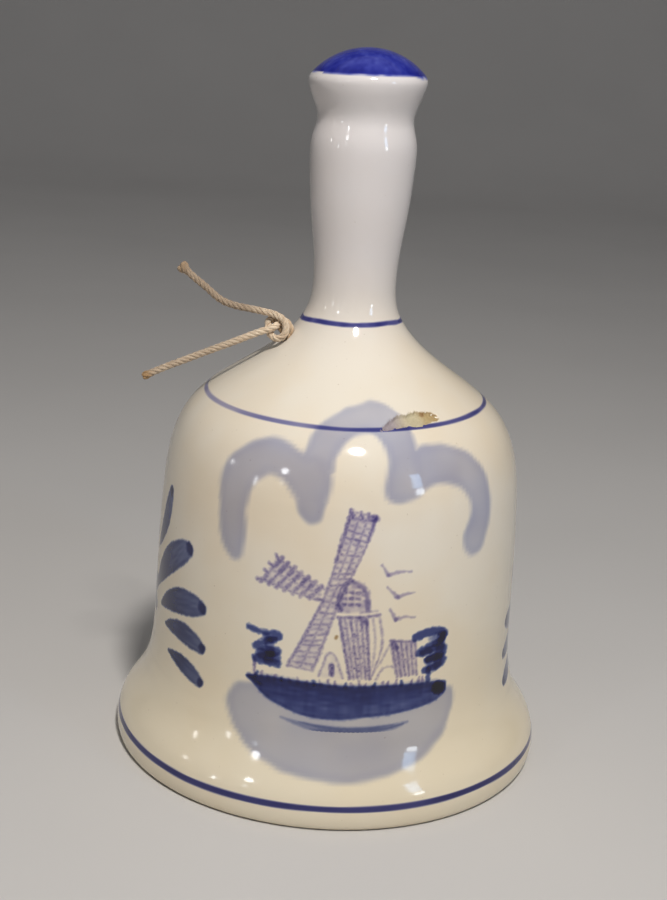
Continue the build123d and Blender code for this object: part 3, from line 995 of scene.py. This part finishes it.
def hole_cutter():
    """A drill for the twine's hole that opens with a small round at the glaze."""
    # (depth along the hole, how much wider than the hole)
    stations = [(-7.0, 0.0), (-0.6, 0.0), (-0.25, 0.07), (0.0, 0.25), (0.3, 0.75), (2.0, 0.9)]
    sides = 40
    points = []
    for depth, flare in stations:
        for turn in turns(sides):
            aside = HOLE_ACROSS * math.cos(turn) + HOLE_UP * math.sin(turn)
            points.append(HOLE_MOUTH + HOLE_OUT * depth + aside * (HOLE_RADIUS + flare))
    faces = ring_faces(len(stations), sides)
    faces.append(tuple(range(sides))[::-1])
    faces.append(tuple(range((len(stations) - 1) * sides, len(stations) * sides)))
    mesh = bpy.data.meshes.new("hole_cutter")
    mesh.from_pydata((np.array(points) * MM).tolist(), [], faces)
    return add_object("hole_cutter", mesh)


def mesh_points(mesh):
    points = np.empty(len(mesh.vertices) * 3)
    mesh.vertices.foreach_get("co", points)
    return points.reshape(-1, 3) / MM


def apply_modifiers(piece):
    graph = bpy.context.evaluated_depsgraph_get()
    made = bpy.data.meshes.new_from_object(piece.evaluated_get(graph))
    piece.modifiers.clear()
    old = piece.data
    piece.data = made
    bpy.data.meshes.remove(old)


def make_body(glaze):
    """The casting: its mesh, the drilled hole, the ring lines and washes, and the dent of the chip."""
    points, faces = body_mesh()
    bell = new_mesh("bell", points, faces, glaze, "bell")
    cutter = hole_cutter()
    cut = bell.modifiers.new("hole", "BOOLEAN")
    cut.operation = "DIFFERENCE"
    cut.solver = "EXACT"
    cut.object = cutter
    apply_modifiers(bell)
    bpy.data.objects.remove(cutter)
    points = mesh_points(bell.data)
    radius = np.hypot(points[:, 0], points[:, 1])
    u = np.arctan2(points[:, 0], -points[:, 1]) * PRINT_RADIUS
    wall = outside.height < CAP_RIM_HEIGHT
    run = np.interp(points[:, 2], outside.height[wall], outside.run[wall])
    dome = points[:, 2] > CAP_RIM_HEIGHT
    run[dome] = np.interp(-radius[dome], -outside.radius[~wall], outside.run[~wall])
    on_skin = radius - outside.at(run)[0] > -SKIN_MARGIN
    ink = np.ones((len(points), 3))
    ink[on_skin] = paint(u[on_skin], run[on_skin], False)
    u_low, u_high, s_low, s_high = CHIP_PATCH
    near = on_skin & (u > u_low) & (u < u_high) & (run > s_low) & (run < s_high)
    depth = DIMPLE_DEPTH * smooth_step(0.1, -1.0, chip_distance(u[near], run[near]))
    across, up = outside.normal(run[near])
    azimuth = u[near] / PRINT_RADIUS
    outward = np.column_stack([across * np.sin(azimuth), -across * np.cos(azimuth), up])
    points[near] -= outward * depth[:, None]
    bell.data.vertices.foreach_set("co", (points * MM).ravel())
    foot = smooth_step(*BARE_FOOT_HEIGHT, points[:, 2]) * (radius > BARE_FOOT_INSIDE)
    set_glaze(bell.data, ink, foot, 0.25 * foot)
    bell.data.shade_smooth()
    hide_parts("bell_body")


# ---- Patches: thin fired films that carry the fine prints -------------------------------------------
PATCH_LIFT = 0.02
PATCH_SUNK = 0.015
PATCH_RAMP = 2.2
PATCH_BACK = 0.45
BACK_CELL = 12  # fine cells along one coarse cell of a patch's back


def patch_mesh(bounds, spacing, relief=None):
    """A closed slab on the skin: fine in front, coarse behind, with its edges sunk in the glaze.

    Returns points, faces, and each point's place in the painting.
    """
    u_low, u_high, s_low, s_high = bounds
    across = BACK_CELL * max(1, round((u_high - u_low) / spacing / BACK_CELL))
    along = BACK_CELL * max(1, round((s_high - s_low) / spacing / BACK_CELL))
    u, s = np.meshgrid(np.linspace(u_low, u_high, across + 1), np.linspace(s_low, s_high, along + 1))
    lift = np.full(u.shape, PATCH_LIFT)
    if relief is not None:
        lift = lift + relief(u, s)
    rim = np.minimum.reduce([u - u_low, u_high - u, s - s_low, s_high - s])
    lift = lift - (PATCH_LIFT + PATCH_SUNK) * smooth_step(PATCH_RAMP, 0.0, rim)
    front = skin(u, s, lift).reshape(-1, 3)
    stride = across + 1
    index = np.arange((along + 1) * stride).reshape(along + 1, stride)
    quads = np.stack([index[:-1, :-1], index[:-1, 1:], index[1:, 1:], index[1:, :-1]], -1)
    faces = quads.reshape(-1, 4).tolist()
    back_u, back_s = u[::BACK_CELL, ::BACK_CELL], s[::BACK_CELL, ::BACK_CELL]
    depth = PATCH_BACK if relief is None else PATCH_BACK + DIMPLE_DEPTH
    back = skin(back_u, back_s, -depth).reshape(-1, 3)
    coarse = np.arange(back_u.size).reshape(back_u.shape) + len(front)
    flipped = np.stack([coarse[:-1, :-1], coarse[1:, :-1], coarse[1:, 1:], coarse[:-1, 1:]], -1)
    faces += flipped.reshape(-1, 4).tolist()
    sides = [(index[0], coarse[0]), (index[:, -1], coarse[:, -1])]
    sides += [(index[-1][::-1], coarse[-1][::-1]), (index[::-1, 0], coarse[::-1, 0])]
    for fine_edge, coarse_edge in sides:
        for k in range(len(coarse_edge) - 1):
            run = fine_edge[k * BACK_CELL : (k + 1) * BACK_CELL + 1]
            faces.append([int(coarse_edge[k]), int(coarse_edge[k + 1])] + [int(i) for i in run[::-1]])
    all_u, all_s = np.r_[u.ravel(), back_u.ravel()], np.r_[s.ravel(), back_s.ravel()]
    return np.vstack([front, back]), faces, all_u, all_s


def make_patch(name, bounds, spacing, glaze):
    points, faces, u, s = patch_mesh(bounds, spacing)
    patch = new_mesh(name, points, faces, glaze, "bell")
    set_glaze(patch.data, paint(u, s, True), np.zeros(len(u)), np.zeros(len(u)))


def make_chip(glaze):
    """The flake's bed: ledges of biscuit under a thin broken edge of glaze."""

    def relief(u, s):
        bed = CHIP_DEPTH * (0.6 + 0.6 * value_noise(u, s, 2.4, 403) + 0.1 * value_noise(u, s, 0.6, 404))
        ledge = 0.2 * smooth_step(14.0, 19.0, u) * smooth_step(75.4, 74.2, s)
        return -(bed - ledge) * smooth_step(0.12, -0.75, chip_break(u, s))

    points, faces, u, s = patch_mesh(CHIP_PATCH, CHIP_SPACING, relief)
    chip = new_mesh("chip", points, faces, glaze, "bell")
    ragged = chip_break(u, s)
    bare = smooth_step(0.02, -0.25, ragged)
    stain_and_shade = 0.3 * value_noise(u, s, 1.2, 405) * smooth_step(17.0, 21.0, u)
    stain_and_shade += 0.75 * smooth_step(1.0, 0.3, np.hypot(u - 20.8, (s - 75.6) * 1.3))
    stain_and_shade += 0.1 * smooth_step(0.9, 0.2, np.hypot((u - 24.4) * 0.6, s - 74.6))
    edge = smooth_step(0.3, 0.0, np.abs(ragged + 0.2))
    # Painted shadow: darker along the upper broken edge, where the edge shades the flake's bed.
    stain_and_shade += 0.4 * edge * smooth_step(73.5, 75.0, s) * smooth_step(15.0, 19.0, u)
    stain_and_shade += 0.15 * value_noise(u, s, 0.6, 406)
    rosy, golden = smooth_step(17.5, 10.5, u)[:, None], smooth_step(18.5, 22.0, u)[:, None]
    tone = 1.0 - rosy * (1.0 - np.array(CHIP_ROSY)) - golden * (1.0 - np.array(CHIP_GOLDEN))
    tone = tone * (0.82 + 0.2 * value_noise(u, s, 1.4, 407))[:, None]
    ink = paint(u, s, False) * (1.0 - bare[:, None]) + tone * bare[:, None]
    set_glaze(chip.data, ink, bare, np.clip(stain_and_shade, 0.0, 1.0))


# ---- Twine ---------------------------------------------------------------------------------------------
PLIES = 4
PLY_RADIUS = 0.36
PLY_OFFSET = 0.34
TWIST_PITCH = 4.4
FIBRE_TWIST = 0.9
PLY_SIDES = 9
PATH_STEP = 0.14
ROUNDED_START = [0.35, 0.75]  # shares of the radius that close a ply's ends
ROUNDED_END = [0.8, 0.4]
DEEPEST_SHADE = 0.9


def spline_points(route):
    """Points along the smooth NURBS curve of a route, in millimetres."""
    data = bpy.data.curves.new("route", "CURVE")
    data.dimensions = "3D"
    data.resolution_u = 24
    spline = data.splines.new("NURBS")
    spline.points.add(len(route) - 1)
    for point, place in zip(spline.points, route):
        point.co = (*place, 1.0)
    spline.order_u = 3
    spline.use_endpoint_u = True
    line = bpy.data.objects.new("route", data)
    mesh = bpy.data.meshes.new_from_object(line)
    points = np.array([v.co for v in mesh.vertices], float)
    bpy.data.meshes.remove(mesh)
    bpy.data.objects.remove(line)
    bpy.data.curves.remove(data)
    return points


def even_points(points, step):
    run = np.r_[0.0, np.cumsum(np.linalg.norm(np.diff(points, axis=0), axis=1))]
    places = np.linspace(0.0, run[-1], max(2, round(run[-1] / step)) + 1)
    return np.column_stack([np.interp(places, run, points[:, axis]) for axis in range(3)]), places


def side_vectors(points):
    """Two side vectors at each point, that do not turn round the path."""
    tangents = np.gradient(points, axis=0)
    tangents /= np.linalg.norm(tangents, axis=1)[:, None]
    side = unit(np.cross(tangents[0], (0.31, 0.17, 0.93)))
    sides = []
    for tangent in tangents:
        side = unit(side - tangent * (side @ tangent))
        sides.append(side)
    sides = np.array(sides)
    return sides, np.cross(tangents, sides)


def twine_mesh(points, phase=0.0, seed=1, flare=0.0):
    """Plies twisted round a path. flare swells them over the last stretch.

    Returns points and faces, then at each point the fibres' lay, the painted shade in the crease
    between plies and the place along the twine.
    """
    rng = np.random.default_rng(seed)
    centre, run = even_points(points, PATH_STEP)
    first, second = side_vectors(centre)
    left = run[-1] - run
    tip = smooth_step(2.0, 0.4, left)
    offset = PLY_OFFSET * (1.0 + 0.7 * flare * tip)
    radius = PLY_RADIUS * (1.0 + 0.5 * flare * tip)
    count = len(run)
    closing = ROUNDED_START + [1.0] * (count - 4) + ROUNDED_END
    all_points, all_faces, lay, crease_shade, place = [], [], [], [], []
    for ply in range(PLIES):
        wander = 0.03 * np.sin(run * 2.1 + rng.uniform(0, 6)) + 0.02 * np.sin(run * 5.3 + rng.uniform(0, 6))
        turn = phase + 2 * math.pi * (ply / PLIES + run / TWIST_PITCH) + wander
        outward = first * np.cos(turn)[:, None] + second * np.sin(turn)[:, None]
        middle = centre + outward * (offset * (1 + wander))[:, None]
        direction = np.gradient(middle, axis=0)
        direction /= np.linalg.norm(direction, axis=1)[:, None]
        base = len(all_points)
        for k in range(count):
            away = unit(outward[k] - direction[k] * (outward[k] @ direction[k]))
            beside = np.cross(direction[k], away)
            reach = radius[k] * closing[k]
            for angle in turns(PLY_SIDES):
                all_points.append(middle[k] + (away * math.cos(angle) + beside * math.sin(angle)) * reach)
                spin = angle + FIBRE_TWIST * run[k]
                lay.append((math.cos(spin) * 3.0, math.sin(spin) * 3.0, run[k] * 0.7 + 9 * ply))
                # Painted shade on the inner side of each ply, where the plies meet.
                crease_shade.append(0.42 * (0.5 - 0.5 * math.cos(angle)) ** 2)
                place.append(run[k])
        all_points += [middle[0] - direction[0] * 0.1, middle[-1] + direction[-1] * 0.12]
        lay += [(0, 0, 0), (0, 0, run[-1])]
        crease_shade += [0.0, 0.0]
        place += [0.0, run[-1]]
        all_faces += ring_faces(count, PLY_SIDES, base)
        last, start_point = base + (count - 1) * PLY_SIDES, base + count * PLY_SIDES
        for j in range(PLY_SIDES):
            after = (j + 1) % PLY_SIDES
            all_faces += [(base + after, base + j, start_point), (last + j, last + after, start_point + 1)]
    return np.array(all_points), all_faces, np.array(lay), np.array(crease_shade), np.array(place)


def make_twine(name, points, body, material, stain_and_shade=None, darkening=None, **shape):
    """A piece of twine along points. stain_and_shade(run, length) gives its glue marks, darkening(run) how
    much darker it gets along its run.
    """
    vertices, faces, lay, crease_shade, place = twine_mesh(points, **shape)
    length = place[-1]
    piece = new_mesh(name, vertices, faces, material, body)
    set_attribute(piece.data, "lay", "FLOAT_VECTOR", lay)
    # The twine gets darker along its run, added to the painted crease shade.
    extra_darkening = 0.0 if darkening is None else darkening(place)
    set_attribute(piece.data, "crease_shade", "FLOAT", np.minimum(crease_shade + extra_darkening, DEEPEST_SHADE))
    marks = np.zeros(len(place)) if stain_and_shade is None else stain_and_shade(place, length)
    set_attribute(piece.data, "stain_and_shade", "FLOAT", marks)
    return piece, length


# Routes as control points. Both start inside the hole, knot together at its mouth, and
# run out to their ends along the loose tails of the frame.
UPPER_ROUTE = [
    (-9.6, -3.4, 78.6),
    (-11.4, -3.9, 80.4),
    (-13.0, -3.6, 82.2),
    (-14.4, -3.0, 84.0),
    (-15.5, -3.1, 83.9),
    (-15.6, -3.8, 82.4),
    (-14.9, -4.6, 81.1),
    (-13.6, -5.2, 80.6),
    (-12.4, -5.3, 81.3),
    (-12.0, -5.1, 82.7),
    (-12.5, -4.7, 84.3),
    (-14.1, -4.2, 85.0),
    (-16.2, -3.8, 85.4),
    (-18.9, -3.5, 85.7),
    (-22.0, -3.1, 86.0),
    (-24.8, -2.7, 86.8),
    (-27.4, -2.2, 88.9),
    (-30.1, -1.8, 90.7),
    (-32.5, -1.5, 92.7),
]
LOWER_ROUTE = [
    (-9.3, -2.4, 78.8),
    (-10.6, -2.9, 80.3),
    (-11.3, -3.2, 81.7),
    (-11.5, -3.3, 83.0),
    (-12.5, -3.2, 83.9),
    (-13.4, -3.7, 83.4),
    (-14.4, -4.9, 82.7),
    (-15.9, -5.1, 82.2),
    (-18.0, -4.9, 81.3),
    (-21.6, -4.9, 79.6),
    (-26.5, -5.3, 77.5),
    (-31.5, -5.8, 75.3),
    (-35.8, -6.3, 73.4),
    (-38.3, -6.6, 72.1),
]


def make_tails(cotton):
    """The two loose ends, each from inside the hole, through the knot and out to its tip."""

    def frayed(run, length):
        return 0.3 * smooth_step(length - 2.2, length - 0.3, run) + 0.5 * smooth_step(9.0, 6.0, run)

    def glued(run, length):
        return 0.75 * smooth_step(length - 2.4, length - 0.8, run) + 0.35 * smooth_step(8.0, 5.0, run)

    # Darker towards the tails' ends.
    def upper_darkening(run):
        return 0.2 + 0.6 * smooth_step(19.5, 25.5, run)

    def lower_darkening(run):
        return 0.52 * smooth_step(9.0, 22.0, run)

    upper_nodes = ("cord_tail_upper", "cord_tip_upper", "cord_knot")
    lower_nodes = ("cord_tail_lower", "cord_tip_lower", "cord_throat")
    upper_shape = {"phase": 0.0, "seed": 601, "flare": 1.25}
    lower_shape = {"phase": 1.1, "seed": 602, "flare": 0.25}
    # (name, route, CAD nodes it stands for, glue marks, darkening along it, shape of the plies)
    tails = [
        ("twine_upper", UPPER_ROUTE, upper_nodes, frayed, upper_darkening, upper_shape),
        ("twine_lower", LOWER_ROUTE, lower_nodes, glued, lower_darkening, lower_shape),
    ]
    for name, route, nodes, marks, darkening, shape in tails:
        points = spline_points(route)
        piece, length = make_twine(name, points, "bell", cotton, marks, darkening, **shape)
        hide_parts(*nodes)


PIVOT = HOLE_MOUTH - 5.0 * HOLE_OUT
STRAND_OFFSET = 0.73
STRAND_LAP = 0.5  # how far the strands run up into the turn they hang from
STRAND_SUNK = 0.6  # how far they run down into the stop knot
# The turn from the hole to the strands, as (along the hole, down) from the pivot.
TURN_ROUTE = [(1.5, 0.0), (0.4, 0.0), (0.0, -0.5), (0.0, -1.6)]


def make_clapper(cotton, ball_glaze):
    """The doubled twine inside, the knot that stops the ball, and the ball."""
    stop_low, stop_high = (np.array(corner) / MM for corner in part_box("clapper_knot"))
    cord_high = np.array(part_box("clapper_cord")[1])[2] / MM
    ball_low, ball_high = (np.array(corner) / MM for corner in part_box("clapper_ball"))
    knot_path = stop_knot_path(stop_low, stop_high)
    knot = make_twine("clapper_stop_knot", knot_path, "clapper", cotton, seed=611)[0]
    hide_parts("clapper_knot")
    for side, name, phase in ((1, "clapper_strand_front", 0.0), (-1, "clapper_strand_back", 0.6)):
        foot = np.array((PIVOT[0], PIVOT[1], stop_high[2] - STRAND_SUNK)) + side * STRAND_OFFSET * HOLE_ACROSS
        head = np.array((foot[0], foot[1], cord_high + STRAND_LAP))
        points = spline_points([between(head, foot, share) for share in (0.0, 0.25, 0.5, 0.75, 1.0)])
        piece, length = make_twine(name, points, "clapper", cotton, phase=phase, seed=612 + side)
        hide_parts("clapper_cord")
    for side, name in ((1, "twine_turn_front"), (-1, "twine_turn_back")):
        start = PIVOT + side * STRAND_OFFSET * HOLE_ACROSS
        route = [start + HOLE_OUT * out + np.array((0, 0, down)) for out, down in TURN_ROUTE]
        piece = make_twine(name, spline_points(route), "twine_bend", cotton, seed=615)[0]
        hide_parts("cord_bend")
    make_ball(ball_low, ball_high, ball_glaze)


KNOT_INSET = 0.72  # from the knot's outside to the middle of its twine


def stop_knot_path(low, high):
    """An overhand knot drawn tight, with its two ends left short."""
    middle = (low + high) / 2
    wide, tall = (high[0] - low[0]) / 2 - KNOT_INSET, (high[2] - low[2]) / 2 - KNOT_INSET
    route = []
    for k in range(19):
        t = 2 * math.pi * k / 12
        around = wide * (0.62 + 0.38 * math.cos(1.5 * t))
        place = (around * math.cos(t), around * math.sin(t), tall * math.sin(1.5 * t))
        route.append(middle + np.array(place))
    return spline_points(route)


BALL_BORE = 1.5
BALL_EDGE = 0.45


def make_ball(low, high, glaze):
    """The bead: a slightly uneven ball with a bore whose edges are rounded and bare."""
    middle = (low + high) / 2
    radius = max(high[2] - low[2], high[0] - low[0]) / 2
    tilt = math.pi / 2 - math.asin((BALL_BORE + BALL_EDGE) / radius)
    profile = [(radius * math.cos(a), radius * math.sin(a)) for a in np.linspace(-tilt, tilt, 47)]
    top = profile[-1][1]
    lip = [(BALL_BORE + 0.18, top - 0.02), (BALL_BORE + 0.04, top - 0.16), (BALL_BORE, top - 0.5)]
    bore = [(BALL_BORE, z) for z in np.linspace(top - 0.5, -top + 0.5, 9)[1:-1]]
    profile += lip + bore + [(r, -z) for r, z in lip[::-1]]
    sides = 96
    points = []
    for r, z in profile:
        for turn in turns(sides):
            flat = 1.0 - 0.004 * (1 + math.sin(2 * turn + 0.3 * z))
            points.append(middle + np.array((r * flat * math.cos(turn), r * flat * math.sin(turn), z)))
    faces = ring_faces(len(profile), sides, closed=True)
    ball = new_mesh("clapper_bead", points, faces, glaze, "ball")
    radii = np.repeat([r for r, z in profile], sides)
    edge = smooth_step(BALL_BORE + 0.7, BALL_BORE + 0.2, radii)
    set_glaze(ball.data, np.ones((len(points), 3)), 0.8 * edge, 0.3 * edge)
    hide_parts("clapper_ball")


# ---- Stage ----------------------------------------------------------------------------------------------
# All in metres.
STAGE_HALF = 2.5  # half its width
STAGE_FRONT = -3.0
STAGE_MIDDLE = 0.2
STAGE_BACK = 0.9  # where it starts to curve up
STAGE_CURVE = 0.5
STAGE_TOP = 2.0
FLOOR_GAP = 0.00002
PAPER = colour(206, 203, 200)


def make_stage():
    """A pale floor that curves up into a backdrop."""
    steps = 24
    profile = [(STAGE_FRONT, 0.0), (STAGE_MIDDLE, 0.0)]
    for k in range(steps + 1):
        turn = math.pi / 2 * k / steps
        profile.append((STAGE_BACK + STAGE_CURVE * math.sin(turn), STAGE_CURVE * (1 - math.cos(turn))))
    profile.append((STAGE_BACK + STAGE_CURVE, STAGE_TOP))
    points = [(x, y, z - FLOOR_GAP) for y, z in profile for x in (-STAGE_HALF, STAGE_HALF)]
    faces = [(2 * k, 2 * k + 1, 2 * k + 3, 2 * k + 2) for k in range(len(profile) - 1)]
    mesh = bpy.data.meshes.new("floor")
    mesh.from_pydata(points, [], faces)
    mesh.shade_smooth()
    mesh.materials.append(paper_material("floor_paper", PAPER))
    add_object("floor", mesh)


LIGHT_AIM = Vector((0.0, 0.0, 0.07))
# Area lights as (name, azimuth from the camera's side, elevation, distance, width, height, watts, colour).
LIGHTS = [
    ("key_overhead", 13, 55.5, 0.5, 0.062, 0.08, 2.05, (1.0, 0.965, 0.92)),
    ("soft_top", -20, 84, 1.2, 2.0, 2.0, 1.9, (1.0, 0.98, 0.96)),
    ("window_right_high", 50, 18.5, 0.8, 0.09, 0.17, 0.34, (0.45, 0.68, 1.0)),
    ("window_right_low", 51, 9.5, 0.8, 0.08, 0.06, 0.17, (0.85, 0.93, 1.0)),
    ("lamp_far_left", -76, 14, 0.9, 0.04, 0.07, 0.07, (1.0, 0.98, 0.96)),
    ("lamp_left", -55, 8.5, 0.9, 0.03, 0.12, 0.11, (0.95, 0.97, 1.0)),
    ("lamp_near_left", -38, 13, 0.9, 0.03, 0.09, 0.03, (0.8, 0.9, 1.0)),
    ("lamp_high_left", -38, 23, 0.9, 0.07, 0.09, 0.26, (0.95, 0.97, 1.0)),
]
SKY_COLOUR = (0.93, 0.95, 1.0, 1.0)
SKY_STRENGTH = 0.115


def make_lights():
    for name, azimuth, elevation, distance, width, height, watts, shade in LIGHTS:
        a, e = math.radians(azimuth), math.radians(elevation)
        away = Vector((math.sin(a) * math.cos(e), -math.cos(a) * math.cos(e), math.sin(e)))
        data = bpy.data.lights.new(name, "AREA")
        data.shape = "RECTANGLE" if name.startswith("window") else "ELLIPSE"
        data.size = width
        data.size_y = height
        data.energy = watts
        data.color = shade
        lamp = add_object(name, data)
        lamp.location = LIGHT_AIM + away * distance
        lamp.rotation_mode = "QUATERNION"
        lamp.rotation_quaternion = away.to_track_quat("Z", "Y")
    world = bpy.data.worlds.new("studio")
    world.use_nodes = True
    background = world.node_tree.nodes["Background"]
    background.inputs["Color"].default_value = SKY_COLOUR
    background.inputs["Strength"].default_value = SKY_STRENGTH
    bpy.context.scene.world = world
    bpy.context.scene.view_settings.view_transform = "Standard"
    bpy.context.scene.view_settings.look = "None"


# ---- Put together --------------------------------------------------------------------------------
# Patches as (name, bounds across and along the skin, spacing of the points).
PATCHES = [
    ("print_front", (-17.2, 25.6, 15.6, 59.6), 0.165),
    ("print_left", (LEFT_SPRAY[0] - 27.5, LEFT_SPRAY[0] + 27.5, 16.0, 56.6), 0.24),
    ("print_right", (RIGHT_SPRAY[0] - 27.5, RIGHT_SPRAY[0] + 27.5, 13.0, 49.0), 0.24),
    ("print_back", (BACK_MIDDLE - 14.5, BACK_MIDDLE + 14.5, 18.0, 58.0), 0.24),
]

glaze = glaze_material("ivory_glaze")
cotton = twine_material("cotton_twine", COTTON, COTTON_SHADOW)
make_body(glaze)
for patch_name, patch_bounds, patch_spacing in PATCHES:
    make_patch(patch_name, patch_bounds, patch_spacing, glaze)
make_chip(glaze)
make_tails(cotton)
make_clapper(cotton, glaze)
make_stage()
make_lights()
